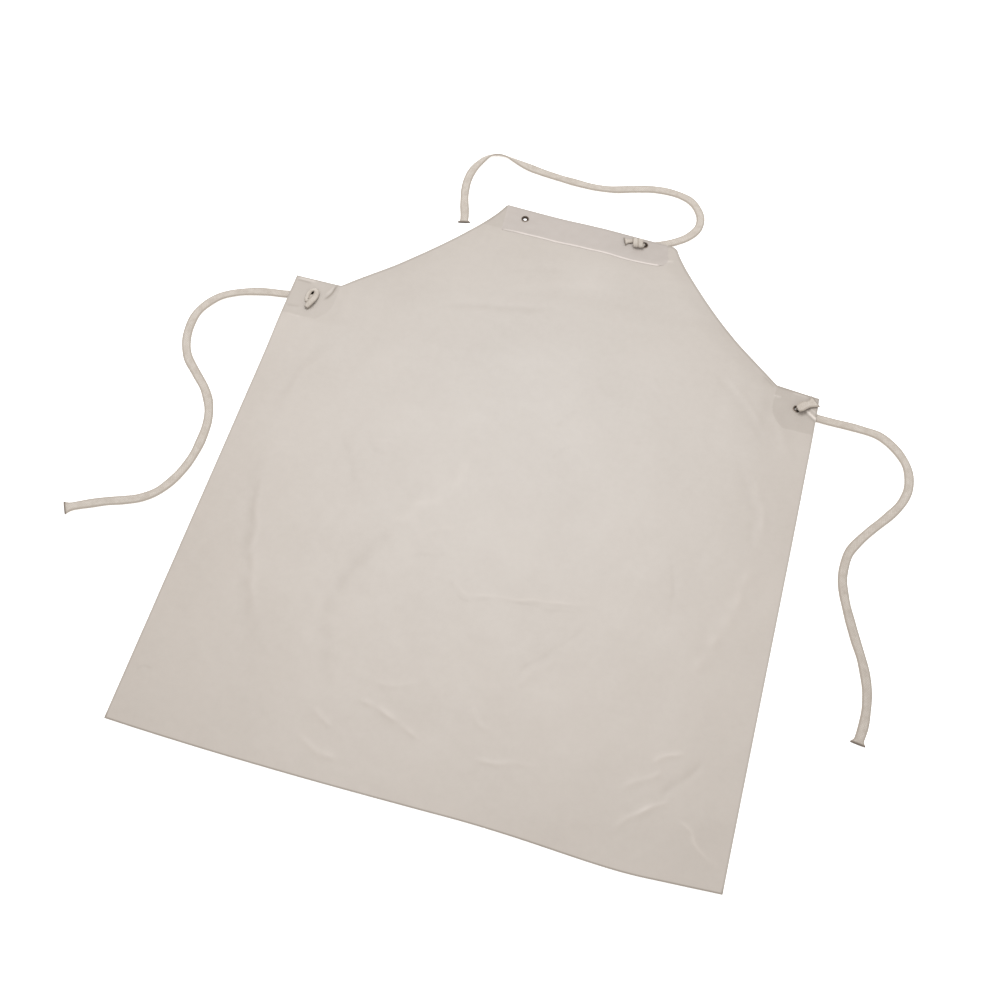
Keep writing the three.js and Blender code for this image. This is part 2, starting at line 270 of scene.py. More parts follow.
def braided_tube(name, centres, ups, half_widths, half_heights, soil_and_shade):
    """A closed tube of flat braid along its centres, in millimetres, a little hollow at its cut end.

    Its points carry the strands' relief, painted shade down its sides, the soil and painted shade on it,
    and their place on the unrolled braid.
    """
    count = len(centres)
    tangents = unit(np.gradient(centres, axis=0))
    ups = unit(ups - (ups * tangents).sum(1)[:, None] * tangents)
    sides = np.cross(tangents, ups)
    pitch = STRAND_SLANT * (CORD_WIDTH + CORD_THICKNESS) / STRANDS_AROUND
    along = arc_length(centres)
    around = np.arange(RING_POINTS) / RING_POINTS * STRANDS_AROUND
    relief = braid_relief(along[:, None] / pitch, around[None, :])
    rings = np.empty((count, RING_POINTS, 3))
    for i in range(count):
        ring = section(half_widths[i], half_heights[i])
        outward = unit(ring / np.array([half_widths[i], half_heights[i]]) ** 2)
        ring = ring + outward * ((relief[i] - STRAND_LEVEL) * STRAND_RELIEF)[:, None]
        rings[i] = centres[i] + ring[:, :1] * sides[i] + ring[:, 1:] * ups[i]
    rim = rings[-1] - centres[-1]
    mouth = [centres[-1] - tangents[-1] * MOUTH_DEPTH * depth + rim * scale
             for depth, scale in MOUTH_RINGS]
    floor_of_mouth = centres[-1] - tangents[-1] * MOUTH_DEPTH
    points = np.vstack([rings.reshape(-1, 3), *mouth, centres[0], floor_of_mouth])
    rows = count + len(mouth)
    faces = tube_faces(rows, RING_POINTS)
    first, last = rows * RING_POINTS, rows * RING_POINTS + 1
    for k in range(RING_POINTS):
        n = (k + 1) % RING_POINTS
        faces.append((first, n, k))
        faces.append((last, (rows - 1) * RING_POINTS + k, (rows - 1) * RING_POINTS + n))
    piece = make_object(name, points * MM, faces)
    in_mouth = len(mouth) * RING_POINTS
    beyond = np.zeros(in_mouth + 2)
    set_attribute(piece, "relief", np.concatenate([relief.ravel(), beyond]))
    off_centre = ((rings - centres[:, None, :]) * sides[:, None, :]).sum(2)
    across = np.abs(off_centre) / half_widths[:, None]
    # Painted shade down the rounded sides.
    painted_side_shade = smoothstep(across, *PAINTED_SIDE_SHADE_SPAN).ravel()
    set_attribute(piece, "painted_side_shade", np.concatenate([painted_side_shade, beyond]))
    # The hollow mouth of the cut end is painted dark as shade.
    soil_and_shade = np.concatenate([np.repeat(soil_and_shade, RING_POINTS), np.ones(in_mouth), soil_and_shade[:1], [1.0]])
    set_attribute(piece, "soil_and_shade", soil_and_shade)
    unrolled = np.zeros((len(points), 3))
    stations = np.concatenate([along, np.full(len(mouth), along[-1])])
    unrolled[:rows * RING_POINTS, 0] = np.repeat(stations, RING_POINTS)
    unrolled[:rows * RING_POINTS, 1] = np.tile(around * pitch, rows)
    set_attribute(piece, "unrolled", unrolled * MM)
    return piece


# The routes start under their eyelets and run to the cut end, in millimetres as on the CAD solids.
NECK_ROUTE = [
    (104, 520), (130, 532), (154, 546), (173, 563), (185, 585), (185, 608), (175, 628), (159, 643),
    (138, 650), (114, 652), (86, 649), (52, 639), (19, 629), (-12, 625), (-48, 626), (-86, 629),
    (-124, 634), (-160, 642), (-188, 646), (-211, 640), (-225, 622), (-233, 600), (-235, 576),
    (-232, 550), (-225, 523), (-218, 501), (-214, 483),
]
LEFT_ROUTE = [
    (-417, 257.5), (-438, 255), (-465, 249), (-492, 245), (-519, 238), (-544, 228), (-567, 213),
    (-583, 192), (-592, 169), (-593, 142), (-587, 112), (-573, 84), (-548, 58), (-523, 33), (-505, 5),
    (-496, -23), (-493, -53), (-494, -85), (-500, -116), (-510, -142), (-525, -166), (-545, -183),
    (-568, -194), (-592, -203), (-614, -213), (-636, -224), (-652, -233),
]
RIGHT_ROUTE = [
    (418, 263.5), (434, 261), (452, 258), (477, 257), (504, 257), (530, 256), (553, 253), (573, 243),
    (591, 228), (605, 209), (612, 188), (613, 163), (605, 136), (589, 109), (566, 77), (549, 50),
    (540, 30), (537, 6), (538, -18), (545, -44), (557, -75), (572, -109), (588, -143), (600, -180),
    (604, -210), (604, -240), (600, -269),
]
HIDDEN_START = 60  # the cord lies quite flat for this far, where the sheet is on it
FLARED_HALF_WIDTH = 11.6
FLARE_LIP = 1.5


def lay_cord(name, route, rolls, flare_length, grubby):
    """Lay a flat cord along its route; rolls are (where, radians, reach) that turn it on its edge."""
    flat = catmull_rom(route, RING_SPACING)
    along = arc_length(flat)
    total = along[-1]
    roll = 0.05 * np.sin(along * 0.031) + 0.04 * np.sin(along * 0.067 + 1.3)
    for where, amount, reach in rolls:
        roll = roll + amount * np.exp(-(((along - where) / reach) ** 2))
    roll = roll * smoothstep(along, HIDDEN_START, HIDDEN_START + 40)
    half_width = CORD_WIDTH / 2 * (
        1 + 0.03 * np.sin(along * 0.083 + 0.7) + 0.02 * np.sin(along * 0.149))
    half_width *= 1 - 0.3 * (1 - smoothstep(along, 0, 12))
    flare = np.clip((along - total + flare_length) / (flare_length - FLARE_LIP), 0, 1) ** 2
    half_width += (FLARED_HALF_WIDTH - half_width) * flare
    half_height = CORD_THICKNESS / 2 * (1 - 0.15 * flare)
    power = SECTION_POWER / (SECTION_POWER - 1)
    on_edge = np.abs(half_width * np.sin(roll)) ** power
    on_flat = (half_height * np.cos(roll)) ** power
    height = (on_edge + on_flat) ** (1 / power)
    centres = np.column_stack([flat, height + CORD_REST + STRAND_RELIEF / 4])
    heading = unit(np.gradient(flat, axis=0))
    leftward = np.column_stack([-heading[:, 1], heading[:, 0], np.zeros(len(flat))])
    ups = np.cos(roll)[:, None] * np.array([0, 0, 1]) + np.sin(roll)[:, None] * leftward
    # Soil and painted shade darken the cut end, and painted shade darkens the start under the eyelet; a
    # grubby cord is soiled further along.
    soil_and_shade = smoothstep(along, total - 4, total - 1) + 1 - smoothstep(along, 6, 11)
    soil_and_shade = np.maximum(soil_and_shade, grubby * smoothstep(along, 200, 550))
    piece = braided_tube(name + "_braid", centres, ups, half_width, half_height, soil_and_shade)
    place(piece, name, "cotton_braid", name)
    return piece, centres * MM, total * MM


# ---- Knots ---------------------------------------------------

# A knot's strand is a list of points: x and y from the eyelet's centre, z from the surface that it is
# pressed through, then the direction that its flat side faces, its width and its thickness.


def neck_knot_strand():
    """The strand wound over itself, its turns side by side, then its flared end."""
    stem = [
        (-0.6, 0.3, -3.2, 0, -1, 0, 5.0, 4.6),
        (-0.8, 0.2, 0.4, 0, -1, 0, 5.2, 4.4),
        (-2.6, -2.8, 2.6, 0, -0.5, -1, 6.5, 3.2),
    ]
    windings = []
    for degrees in range(-30, 541, 30):
        turn = math.radians(degrees)
        swell = math.sin(math.pi * (degrees + 90) / 720)
        windings.append((
            -4.9 - 8.6 * degrees / 360,
            -(5.2 + 3.6 * swell) * math.cos(turn) - 2.6 + 1.2 * swell,
            4.7 + (2.0 + 1.4 * swell) * math.sin(turn),
            0, -math.cos(turn), math.sin(turn), 9.6, 3.0,
        ))
    tail = [
        (-20.5, 3.4, 2.5, 0, 0.4, -1, 8.5, 2.8),
        (-24.5, 1.0, 1.9, 0, 0, -1, 8.5, 2.8),
        (-30, -0.6, 1.8, 0, 0, -1, 10, 2.8),
        (-35, -2.8, 1.9, 0, 0, -1, 17, 3.0),
    ]
    return stem + windings + tail


LEFT_KNOT_STRAND = [
    (0.2, -0.8, -3.2, 0, 1, 0, 5.0, 4.4),
    (0.2, -1.2, 0.4, 0, 1, 0, 5.2, 4.2),
    (-0.6, -4.2, 2.4, 0, 0.5, 1, 7, 3.2),
    (-1.8, -9, 2.5, 0, 0.1, 1, 9, 3.0),
    (-4, -13.5, 2.4, -0.3, -0.2, 1, 9, 3.0),
    (-6, -8, 2.5, -0.4, 0, 1, 9, 3.0),
    (-5.8, -0.5, 2.8, -0.45, 0, 1, 8.8, 3.0),
    (-3.6, 6.2, 3.2, -0.35, 0.3, 1, 8.6, 3.0),
    (1.6, 9, 3.5, 0, 0.45, 1, 8.6, 3.0),
    (6.4, 6, 3.8, 0.35, 0.3, 1, 9, 3.0),
    (7.6, -1, 4.1, 0.45, 0, 1, 10, 3.0),
    (6.6, -9, 5.0, 0.35, -0.1, 1, 10.5, 3.0),
    (4.2, -16.5, 5.8, 0.2, -0.1, 1, 10.5, 3.0),
    (1.6, -23, 4.8, 0, -0.3, 1, 10, 3.0),
    (-0.8, -29, 2.4, 0, -0.4, 1, 7, 3.0),
]
RIGHT_KNOT_STRAND = [
    (0.4, 0.2, -3.2, -0.8, -0.6, 0, 5.0, 4.4),
    (0.5, 0.3, 0.4, -0.8, -0.6, 0, 5.2, 4.0),
    (4.7, 2.4, 2.4, -0.3, -0.2, 1, 9, 2.8),
    (10.4, 6, 2.5, 0, 0, 1, 12.5, 2.8),
    (13.8, 8.2, 3.9, 0.8, 0.6, 0.1, 12.5, 2.8),
    (11, 6, 5.3, 0, 0, -1, 14, 2.8),
    (6, 1.6, 5.4, 0, 0, -1, 15.5, 2.8),
    (1.4, -2.6, 6.8, -0.8, -0.6, 0.1, 12, 2.8),
    (5.6, 0.4, 8.4, 0, 0, 1, 16.5, 2.8),
    (10.6, 6, 7.6, 0.1, 0.1, 1, 15.5, 2.8),
    (16, 10.8, 4.4, 0.3, 0.2, 1, 12.5, 3.0),
    (21.5, 15.5, 2.5, 0.05, 0.05, 1, 15.5, 3.0),
    (27, 21, 2.4, 0, 0, 1, 25, 3.0),
]
KNOT_SPACING = 0.6


def tie_knot(body, eyelet, surface, strand, darkened_end):
    """The strand comes up through the eyelet and lies as its points say."""
    strand = np.array(strand, float)
    at = np.array([*EYELET_AT[eyelet][:2] / MM, surface])
    centres, carried = catmull_rom(strand[:, :3] + at, KNOT_SPACING, strand[:, 3:])
    along = arc_length(centres)
    # Painted shade where the strand goes down into the eyelet's hole; soil and painted shade at its cut
    # end.
    in_hole = 1 - smoothstep(along, 3, 7)
    soil_and_shade = 0.8 * np.maximum(in_hole, smoothstep(along, along[-1] - darkened_end, along[-1]))
    name = body + "_knot"
    piece = braided_tube(
        name + "_strand", centres, carried[:, :3], carried[:, 3] / 2, carried[:, 4] / 2, soil_and_shade)
    return place(piece, body, "cotton_braid", name)


# ---- Lie of the sheet ----------------------------------------

TAB_Y = (TAB_INNER_LEFT[1] + TAB_INNER_RIGHT[1]) / 2
TAB_RISE_X = (290, 365)
TAB_RISE_Y = (TAB_Y - 165, TAB_Y - 80)
BIB_RISE_X = (-60, 60)
BIB_RISE_Y = (384.5, 479.5)
LEAST_CLEARANCE = 0.15
CLEARANCE_AT_EYELETS = 0.15
LOOSE_CLEARANCE = 1.1
HANDLED_MIDDLE = (-20, -60)
HANDLED_REACH = (330, 380)

# Creases, as a line, a height, a half width and a tone: painted shade below 0, painted highlight above
# 0.
CREASES = [
    # Down the left side.
    ([(-404, -10), (-398, -60), (-374, -162), (-344, -259), (-310, -338), (-269, -417)],
     -0.2, 11, -0.04),
    ([(-382, -68), (-360, -158), (-331, -255), (-299, -334)], 0.21, 6, 0.03),
    ([(-404, -10), (-404, 45), (-387, 108), (-364, 167), (-321, 200)], -0.16, 12, -0.03),
    ([(-389, 60), (-378, 115), (-350, 150)], 0.17, 6, 0.03),
    # Across the chest.
    ([(-220, 294), (-158, 315), (-85, 331), (0, 351)], -0.26, 7, -0.05),
    ([(-126, 397), (-75, 417), (-18, 432)], -0.13, 6, -0.03),
    ([(-126, 359), (-47, 394), (36, 415), (113, 416)], 0.17, 9, 0.03),
    # Down the right side.
    ([(267, 305), (313, 262), (352, 217), (385, 172)], -0.17, 7, -0.04),
    ([(288, 305), (335, 255), (374, 211)], 0.17, 5, 0.03),
    ([(379, 256), (405, 202), (425, 136)], 0.26, 9, 0.04),
    ([(323, 180), (357, 119), (385, 44), (392, -14)], -0.17, 8, -0.03),
    ([(376, 124), (400, 62), (407, 4)], 0.17, 6, 0.03),
    ([(406, 0), (395, -78), (378, -152), (354, -211), (317, -263)], 0.34, 8, 0.05),
    # The soft fold left of the middle.
    ([(-122, -116), (-162, -149), (-181, -183), (-198, -230), (-200, -281), (-187, -339), (-150, -412)],
     -0.36, 11, -0.07),
    ([(-170, -128), (-124, -79), (-88, -38), (-67, 24), (-59, 83)], 0.5, 10, 0.07),
    ([(-115, -143), (-92, -114), (-50, -95)], 0.17, 6, 0.03),
    ([(-129, -176), (-97, -156), (-53, -146)], -0.13, 4, -0.03),
    ([(-293, 29), (-237, -54), (-200, -114)], -0.17, 6, -0.03),
    ([(-257, 40), (-220, 5), (-174, 1)], -0.17, 5, -0.04),
    ([(-231, 24), (-193, 24)], 0.13, 4, 0.03),
    # Wrinkles across the middle.
    ([(-39, -168), (-14, -195), (43, -191), (110, -179), (197, -159)], 0.28, 3.5, 0.08),
    ([(-45, -180), (-18, -207), (40, -200)], -0.2, 3, -0.06),
    ([(50, -196), (113, -190), (169, -183)], -0.2, 3, -0.05),
    ([(86, -323), (115, -284), (158, -232), (192, -178)], -0.17, 4, -0.04),
    ([(96, -332), (125, -292), (168, -240)], 0.17, 5, 0.02),
    ([(273, -35), (292, -101), (300, -168)], -0.13, 5, -0.02),
    ([(45, 122), (58, 140), (72, 169)], -0.13, 4, -0.04),
    ([(56, 64), (68, 80), (79, 102)], -0.13, 4, -0.05),
    # Along the foot.
    ([(-117, -404), (-86, -406), (-48, -420), (-1, -440)], 0.45, 4.5, 0.08),
    ([(-105, -366), (-67, -368), (-34, -348)], 0.3, 5, 0.04),
    ([(-180, -475), (-147, -490), (-108, -501)], 0.34, 5, 0.06),
    ([(-171, -430), (-134, -457)], 0.3, 4.5, 0.05),
    ([(70, -434), (83, -442), (118, -435), (178, -426)], 0.26, 5, 0.05),
    ([(48, -367), (72, -390), (91, -399)], 0.17, 5, 0.02),
    ([(288, -486), (322, -450), (360, -422)], 0.42, 4, 0.11),
    ([(333, -427), (372, -388), (396, -348)], -0.26, 6, -0.04),
    ([(318, -377), (337, -365), (362, -350)], 0.35, 3.5, 0.14),
    ([(284, -427), (317, -404), (343, -380)], 0.25, 5, 0.05),
    ([(368, -444), (398, -460), (407, -478), (448, -498)], 0.4, 3.5, 0.13),
    ([(-440, -451), (-430, -441), (-415, -442)], -0.13, 2.5, -0.11),
    # The left tab.
    ([(-380, 293), (-383, 283), (-385, 270), (-391, 258), (-396, 253)], -0.3, 1.6, -0.75),
    ([(-386, 287), (-389, 276), (-395, 265)], 0.3, 1.8, 0.2),
    ([(-454, 281.5), (-438, 281.5), (-424, 281)], -0.25, 1.4, -0.4),
    ([(-453, 286), (-438, 286), (-416, 286)], 0.3, 2.4, 0.45),
    ([(-453, 226), (-440, 227), (-426, 229)], 0.25, 2.2, -0.15),
    ([(-450, 213), (-436, 211), (-420, 210)], 0.3, 2.6, 0.1),
    # The right tab.
    ([(351, 313), (364, 303), (377, 293)], -0.2, 1.2, -0.25),
    ([(376, 279.5), (383, 279.5), (390, 279.5)], 0.3, 1.4, 0.3),
    ([(404, 293), (418, 292), (434, 290.5)], 0.3, 1.8, 0.25),
    ([(429, 268), (441, 259.5), (462, 245)], 0.5, 1.5, 1.6),
    ([(437, 271), (444, 267.5), (450, 263)], 0.3, 1.2, 0.4),
    ([(427, 264), (438, 256), (452, 246)], -0.3, 1.5, -0.35),
    ([(139, 499), (144, 497), (162, 501)], 0.4, 1.8, 0.25),
]
CREASE_SPACING = 3
CREASE_ROWS = np.array([0, -0.5, 0.5, -1, 1, -1.7, 1.7])
CREASE_WANDER = 1.2
CREASE_LINES = [catmull_rom(line, CREASE_SPACING) for line, *_ in CREASES]


def plane_waves(x, y, wavelength, count, seed):
    """Even, random, gently rolling ground with the given typical wavelength, about 1 high."""
    rng = np.random.default_rng(seed)
    total = np.zeros(np.shape(x))
    for _ in range(count):
        angle, phase = rng.uniform(0, 2 * math.pi, 2)
        number = 2 * math.pi / (wavelength * rng.uniform(0.75, 1.35))
        total += np.sin(number * (x * math.cos(angle) + y * math.sin(angle)) + phase)
    return total / math.sqrt(count / 2)


def cad_lift(x, y):
    tab = LIFT_OVER_CORD * smoothstep(np.abs(x), *TAB_RISE_X) * smoothstep(y, *TAB_RISE_Y)
    bib = LIFT_OVER_WASHER + (LIFT_OVER_CORD - LIFT_OVER_WASHER) * smoothstep(x, *BIB_RISE_X)
    return np.maximum(tab, bib * smoothstep(y, *BIB_RISE_Y))


def creased(x, y):
    """What the creases add to the sheet's height and to its tone of painted highlight and shade. Away
    from the tabs they wander.
    """
    loose = smoothstep(-y, -240, -160)
    flat = np.column_stack([
        x + CREASE_WANDER * loose * plane_waves(x, y, 50, 10, 31),
        y + CREASE_WANDER * loose * plane_waves(x, y, 50, 10, 32),
    ])
    strength = 1 + 0.35 * loose * plane_waves(x, y, 45, 10, 33)
    height = np.zeros(len(x))
    tone = np.zeros(len(x))
    for line, (_, rise, half_width, shade) in zip(CREASE_LINES, CREASES):
        reach = 3 * half_width
        near = np.all((flat > line.min(0) - reach) & (flat < line.max(0) + reach), axis=1)
        gap, share = line_distance(flat[near], line)
        end = np.minimum(smoothstep(share, 0, 0.25), 1 - smoothstep(share, 0.75, 1))
        profile = np.exp(-((gap / half_width) ** 2)) * end * strength[near]
        height[near] += rise * profile
        tone[near] += shade * profile
    return height, tone


def lie_of_sheet(x, y):
    """Height of the sheet's underside."""
    near = np.min([np.hypot(x - at[0] / MM, y - at[1] / MM) for at in EYELET_AT.values()], axis=0)
    free = smoothstep(near, 30, 120)
    rolling = 0.2 * plane_waves(x, y, 260, 9, 4) + 0.1 * plane_waves(x, y, 110, 12, 9)
    out_x = (x - HANDLED_MIDDLE[0]) / HANDLED_REACH[0]
    out_y = (y - HANDLED_MIDDLE[1]) / HANDLED_REACH[1]
    handled = smoothstep(np.hypot(out_x, out_y), 1.15, 0.5)
    rumple = (0.03 + 0.05 * handled) * plane_waves(x, y, 34, 18, 21)
    crackle = np.exp(-9 * np.abs(plane_waves(x, y, 75, 12, 22)))
    rumple += 0.13 * handled * crackle * smoothstep(plane_waves(x, y, 120, 8, 23), 0, 1)
    clearance = CLEARANCE_AT_EYELETS + free * (LOOSE_CLEARANCE + rolling) + rumple + creased(x, y)[0]
    return cad_lift(x, y) + LEAST_CLEARANCE + np.maximum(clearance, 0)


# ---- Sheet and its layers ------------------------------------

FOLD_SLOPE = (
    (BIB_RIGHT_CORNER[1] - BIB_LEFT_CORNER[1]) / (BIB_RIGHT_CORNER[0] - BIB_LEFT_CORNER[0]))
FOLD_R = SHEET_THICKNESS + LAYER_GAP / 2
EDGE_WIDTH = 3.2
ARMHOLE_Y = (285, 300)
WELD_LINE = [(-146, 488), (-113, 489), (-40, 487), (50, 484), (95, 481.5), (138, 484)]
WELD_HALF_WIDTH = 2
WELD_HALF_HEIGHT = 0.28
WELD_RISE = 0.1
WELD_DROP = 0.6
WELD_SIDES = 16
PATCH_CUT = (22, 37)
PATCH_DRAWN_IN = 0.985


def fold_y(x):
    """Where the top fold runs."""
    return BIB_LEFT_CORNER[1] + FOLD_SLOPE * (x - BIB_LEFT_CORNER[0])


def split_sides(points, spacing):
    """Split each long side into short ones, keeping every corner."""
    out = []
    for a, b in zip(points, np.roll(points, -1, axis=0)):
        count = max(1, int(round(np.linalg.norm(b - a) / spacing)))
        out.append(a + (b - a) * np.arange(count)[:, None] / count)
    return np.vstack(out)


def joined(stretches, spacing=4):
    """One closed outline from its stretches, without doubled points, its long sides split up."""
    whole = np.vstack([np.asarray(s, float) for s in stretches])
    keep = np.linalg.norm(whole - np.roll(whole, 1, axis=0), axis=1) > 1e-3
    return split_sides(whole[keep], spacing)


def sheet_outline():
    """The cut edge. Beneath the hem's fold it stands in, so that the fold can wrap over it."""
    under_fold = 3 * FOLD_R
    return joined([
        bezier([
            (-HALF_WIDTH, CORNER_Y), (-280, CORNER_Y - 7), (-100, CORNER_Y - 5), (60, CORNER_Y - 2)]),
        bezier([(60, CORNER_Y - 2), (190, CORNER_Y), (270, CORNER_Y - 12), (345, CORNER_Y - 7.5)]),
        bezier([(HALF_WIDTH, CORNER_Y), (453, -200), (455, 100), TAB_OUTER_RIGHT]),
        bezier([TAB_INNER_RIGHT, (308, 353), (193, 463), (163, 521)]),
        bezier([(163, 521), (159.5, 529.5), BIB_RIGHT_CORNER], 12),
        [(HEM_END_X, fold_y(HEM_END_X)), (HEM_END_X, fold_y(HEM_END_X) - under_fold)],
        [(BIB_LEFT_CORNER[0] + 1, BIB_LEFT_CORNER[1] - under_fold)],
        bezier([BIB_LEFT_CORNER, (-178, 472), TAB_INNER_LEFT])[1:],
        [(-HALF_WIDTH, TAB_INNER_LEFT[1])],
    ])


def hem_outline():
    return joined([
        np.array(WELD_LINE) - [0, 1],
        bezier([(139, 484), (149, 488), (150, 499)], 8),
        [(HEM_END_X, fold_y(HEM_END_X)), (BIB_LEFT_CORNER[0] + 1, fold_y(BIB_LEFT_CORNER[0] + 1))],
    ], 3)


def patch_outline(inner, outer):
    side = math.copysign(1, inner[0])
    bottom = inner[1] - PATCH_HEIGHT
    cut_x, cut_y = PATCH_CUT
    return joined([
        [inner],
        bezier([(inner[0], bottom + cut_y), (inner[0] + side * 1.5, bottom + 0.45 * cut_y),
                (inner[0] + side * cut_x, bottom)], 12),
        [(outer[0], bottom), outer],
    ])


PATCHES = {
    "left_corner_patch": patch_outline(TAB_INNER_LEFT, (-HALF_WIDTH, TAB_INNER_LEFT[1])),
    "right_corner_patch": patch_outline(TAB_INNER_RIGHT, TAB_OUTER_RIGHT),
}
# How much darker each tab is where its patch shows through.
SEEN_THROUGH = {"left_corner_patch": 0.1, "right_corner_patch": 0.17}


def circle(centre, radius, count=32):
    angle = np.linspace(0, 2 * math.pi, count, endpoint=False)
    return np.column_stack([centre[0] + radius * np.cos(angle), centre[1] + radius * np.sin(angle)])


def beside(line, offsets):
    """Rows of points alongside a line, at the given offsets from it."""
    heading = unit(np.gradient(line, axis=0))
    sideways = np.column_stack([-heading[:, 1], heading[:, 0]])
    return np.vstack([line + offset * sideways for offset in offsets])


def grid(low, high, spacing):
    step_y = spacing * math.sqrt(3) / 2
    rows = int((high[1] - low[1]) / step_y) + 1
    columns = int((high[0] - low[0]) / spacing) + 1
    i, j = np.meshgrid(np.arange(columns), np.arange(rows))
    x = low[0] + (i + 0.5 * (j % 2)) * spacing
    return np.column_stack([x.ravel(), (low[1] + j * step_y).ravel()])


def cell_of(point, size):
    return math.floor(point[0] / size), math.floor(point[1] / size)


def cells_around(cell):
    return [(cell[0] + i, cell[1] + j) for i in (-1, 0, 1) for j in (-1, 0, 1)]


def thinned(points, least):
    """The points, without those that stand closer than `least` to an earlier one."""
    kept, cells = [], {}
    for p in points.tolist():
        cell = cell_of(p, least)
        around = [cells.get(c) for c in cells_around(cell)]
        if any(q and math.dist(p, q) < least for q in around):
            continue
        cells[cell] = p
        kept.append(p)
    return np.array(kept)


def far_from(points, others, least):
    """Which points stand at least this far from all the others."""
    cells = {}
    for q in others.tolist():
        cells.setdefault(cell_of(q, least), []).append(q)
    result = []
    for p in points.tolist():
        around = [q for c in cells_around(cell_of(p, least)) for q in cells.get(c, ())]
        result.append(all(math.dist(p, q) >= least for q in around))
    return np.array(result)


def triangulated(outline, holes, loose, margin):
    """Triangles that fill an outline and leave its holes open, with the loose points inside it."""
    keep = inside(loose, outline) & (line_distance(loose, closed(outline))[0] > margin)
    for hole in holes:
        middle = hole.mean(0)
        reach = np.linalg.norm(hole[0] - middle) + margin
        keep &= np.linalg.norm(loose - middle, axis=1) > reach
    points, edges = [], []
    for loop in [outline, *holes]:
        start = len(points)
        points += [Vector(p) for p in loop]
        edges += [(start + i, start + (i + 1) % len(loop)) for i in range(len(loop))]
    points += [Vector(p) for p in loose[keep]]
    verts, _, faces, *_ = delaunay_2d_cdt(points, edges, [], 0, 1e-7)
    flat = np.array([tuple(v) for v in verts])
    triangles = np.array([tuple(f) for f in faces])
    middles = flat[triangles].mean(1)
    keep = inside(middles, outline)
    for hole in holes:
        keep &= ~inside(middles, hole)
    triangles = triangles[keep]
    used, triangles = np.unique(triangles, return_inverse=True)
    return flat[used], triangles.reshape(-1, 3)


def layered(name, flat, triangles, underside, top, tone):
    """A closed layer between two heights; its points carry a tone."""
    count = len(flat)
    a, b, c = (flat[triangles[:, k]] for k in range(3))
    turn = (b[:, 0] - a[:, 0]) * (c[:, 1] - a[:, 1]) - (b[:, 1] - a[:, 1]) * (c[:, 0] - a[:, 0])
    triangles = np.where((turn < 0)[:, None], triangles[:, ::-1], triangles)
    directed = {(int(tri[k]), int(tri[(k + 1) % 3])) for tri in triangles for k in range(3)}
    rim = [(p, q) for p, q in directed if (q, p) not in directed]
    points = np.vstack([np.column_stack([flat, top]), np.column_stack([flat, underside])])
    faces = [tuple(t) for t in triangles]
    faces += [tuple(t[::-1] + count) for t in triangles]
    faces += [(q, p, p + count, q + count) for p, q in sorted(rim)]
    piece = make_object(name, points * MM, faces, sharp_angle=50)
    set_attribute(piece, "tone", np.tile(np.clip(tone, -1, 1), 2))
    return piece


def holes_at(names):
    return [circle(EYELET_AT[name][:2] / MM, PIERCED_R) for name in names]


def painted_edge_shade(flat, outline):
    """A cut edge is painted as a thin dark line of shade, darkest along the foot; the armholes get
    painted shade beside it.
    """
    x, y = flat.T
    gap, _ = line_distance(flat, closed(outline))
    depth = 0.3 + 0.4 * smoothstep(y, CORNER_Y + 12, CORNER_Y + 4)
    armhole = smoothstep(y, *ARMHOLE_Y)
    reach = EDGE_WIDTH + 1.8 * armhole
    shade = armhole * np.where(x > 0, 0.09, 0.05) * (1 - smoothstep(gap, 5, 45))
    return -depth * (1 - smoothstep(gap / reach, 0.35, 1)) - shade


def lifted_shade(x, y):
    """The slopes where the sheet climbs over the cords are a little darker."""
    bib = 0.11 * smoothstep(x, -20, 120) * np.exp(-(((y - 425) / 45) ** 2))
    tab = np.exp(-(((np.abs(x) - 335) / 38) ** 2)) * smoothstep(y, 120, 200)
    return bib + np.where(x > 0, 0.11, 0.07) * tab


def make_sheet():
    outline = sheet_outline()
    inset = beside(closed(outline), (1.3, 2.2, EDGE_WIDTH, 5))
    creases = []
    for line, (_, _, half_width, _) in zip(CREASE_LINES, CREASES):
        creases.append(beside(line, CREASE_ROWS * half_width))
    seams = [beside(closed(patch), (-0.4, 0.4, -1.4, 1.4)) for patch in PATCHES.values()]
    hem_edge = beside(closed(hem_outline()), (-1.5, 1.5))
    fine = np.vstack([
        grid((-460, 190), (-340, 300), 3.5),
        grid((340, 190), (460, 300), 3.5),
        grid((-200, 470), (200, 546), 3.5),
    ])
    coarse = grid((-460, -545), (460, 546), 5)
    # Edges, seams and creases keep their own points, and the even grid fills what is left.
    loose = np.vstack([
        thinned(np.vstack([inset, *seams]), 0.6),
        thinned(np.vstack([*creases, hem_edge, fine]), 1.2),
    ])
    loose = np.vstack([loose, coarse[far_from(coarse, loose, 3.4)]])
    flat, triangles = triangulated(outline, holes_at(EYELETS), thinned(loose, 0.6), 0.9)
    x, y = flat.T
    underside = lie_of_sheet(x, y)
    # The tone adds up painted highlight and shade on the creases, and painted shade along the cut edge
    # and on the lifted slopes.
    tone = creased(x, y)[1] + painted_edge_shade(flat, outline) - lifted_shade(x, y)
    for name, patch in PATCHES.items():
        gap, _ = line_distance(flat, closed(patch))
        depth = np.where(inside(flat, patch), gap, -gap)
        tone -= SEEN_THROUGH[name] * smoothstep(depth, -0.5, 0.5)
    # The narrow strip beside the hem's left end is as dark as the hem.
    tone -= 0.11 * smoothstep(x, -144, -148) * smoothstep(y, 487, 492)
    sheet = layered("sheet", flat, triangles, underside, underside + SHEET_THICKNESS, tone)
    return place(sheet, "apron", "vinyl_sheet", "apron_sheet"), outline


